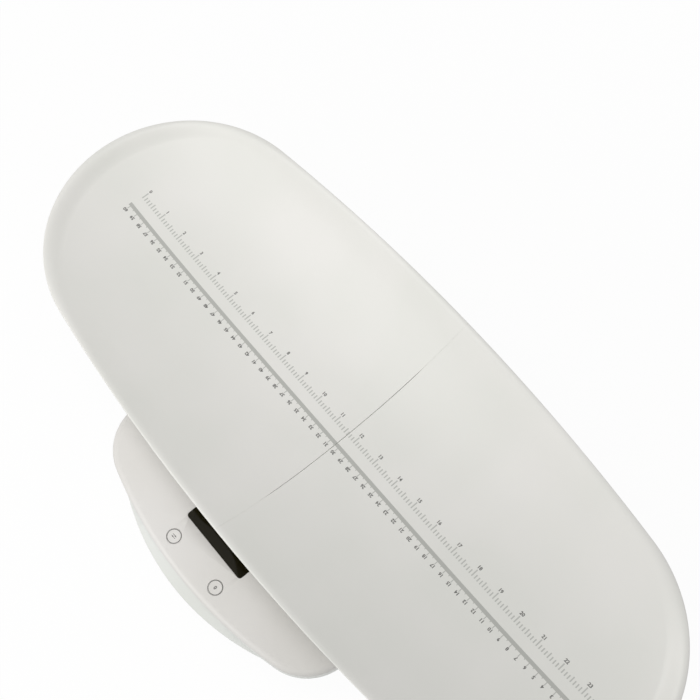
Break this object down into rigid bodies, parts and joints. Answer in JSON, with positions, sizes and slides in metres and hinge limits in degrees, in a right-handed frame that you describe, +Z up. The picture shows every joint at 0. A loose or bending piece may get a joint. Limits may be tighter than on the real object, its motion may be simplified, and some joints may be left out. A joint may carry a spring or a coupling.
{
  "type": "digital baby weighing scale",
  "caption": "Low battery-powered baby scale: a long oval dish with a printed ruler on a flat platform base with a display window and push keys.",
  "frame": {"origin": "on the floor, under the middle of the whole footprint", "axes": "+X along the dish to the operator's right, +Y away from the operator, +Z up; the display faces up at the -Y side"},
  "size_m": [0.7, 0.3362, 0.087],
  "materials": {
    "tray_plastic": "moulded ABS, warm off-white, fine satin texture",
    "cover_plastic": "moulded ABS, off-white, fine satin texture",
    "housing_plastic": "moulded ABS, off-white, light texture",
    "screw_steel": "zinc-plated steel",
    "soft_pad": "soft silicone and foam",
    "window_black": "smoked acrylic",
    "lcd_cell": "liquid-crystal cell",
    "light_guide": "clear acrylic light guide with white backing",
    "inner_plastic": "nylon, natural",
    "circuit_board": "glass-epoxy board with green mask",
    "chip_black": "moulded epoxy, black",
    "contact_nickel": "nickel-plated spring steel",
    "cell_steel": "alloy steel, nickel plated",
    "gauge_sealant": "white silicone sealant",
    "foot_plastic": "moulded ABS",
    "foot_rubber": "soft rubber, dark grey",
    "lead_sleeve": "PVC sleeve",
    "battery_jacket": "printed metal jacket, plain"
  },
  "bodies": {
    "base": {"battery_1": "battery_jacket", "battery_2": "battery_jacket", "battery_3": "battery_jacket", "battery_4": "battery_jacket", "battery_contacts": "contact_nickel", "battery_leads": "lead_sleeve", "battery_springs": "contact_nickel", "board_connectors": "inner_plastic", "board_screws": "screw_steel", "control_chip": "chip_black", "display_gasket": "soft_pad", "display_holder": "inner_plastic", "display_lens": "window_black", "foot_front_left": "foot_plastic", "foot_front_right": "foot_plastic", "foot_pad_front_left": "foot_rubber", "foot_pad_front_right": "foot_rubber", "foot_pad_rear_left": "foot_rubber", "foot_pad_rear_right": "foot_rubber", "foot_rear_left": "foot_plastic", "foot_rear_right": "foot_plastic", "foot_retainer_front_left": "foot_plastic", "foot_retainer_front_right": "foot_plastic", "foot_retainer_rear_left": "foot_plastic", "foot_retainer_rear_right": "foot_plastic", "housing_screws": "screw_steel", "lcd_backlight": "light_guide", "lcd_connector_strip": "soft_pad", "lcd_glass": "lcd_cell", "load_cell_front_left": "cell_steel", "load_cell_front_right": "cell_steel", "load_cell_rear_left": "cell_steel", "load_cell_rear_right": "cell_steel", "lower_housing": "housing_plastic", "main_board": "circuit_board", "retainer_screws": "screw_steel", "sensor_lead_front_left": "lead_sleeve", "sensor_lead_front_right": "lead_sleeve", "sensor_lead_rear_left": "lead_sleeve", "sensor_lead_rear_right": "lead_sleeve", "socket_pads": "soft_pad", "strain_gauge_front_left": "gauge_sealant", "strain_gauge_front_right": "gauge_sealant", "strain_gauge_rear_left": "gauge_sealant", "strain_gauge_rear_right": "gauge_sealant", "tare_switch": "chip_black", "top_cover": "cover_plastic", "unit_switch": "chip_black"},
    "tray": {"tray_left_half": "tray_plastic", "tray_right_half": "tray_plastic", "tray_joint_screws": "screw_steel"},
    "unit_key": {"unit_key": "cover_plastic", "unit_switch_plunger": "chip_black"},
    "tare_key": {"tare_key": "cover_plastic", "tare_switch_plunger": "chip_black"},
    "battery_cover": {"battery_cover": "housing_plastic"}
  },
  "joints": [
    {"name": "tray_lift", "type": "slide", "parent": "base", "child": "tray", "axis": [0, 0, 1], "range_m": [0, 0.06]},
    {"name": "unit_key_press", "type": "slide", "parent": "base", "child": "unit_key", "axis": [0, 0, -1], "range_m": [0, 0.0006], "stiffness_N_per_m": 1500, "springref_m": -0.0004},
    {"name": "tare_key_press", "type": "slide", "parent": "base", "child": "tare_key", "axis": [0, 0, -1], "range_m": [0, 0.0006], "stiffness_N_per_m": 1500, "springref_m": -0.0004},
    {"name": "battery_cover_hinge", "type": "hinge", "parent": "base", "child": "battery_cover", "pos_m": [0, 0.09665, 0.008], "axis": [1, 0, 0], "range_deg": [0, 90]}
  ]
}
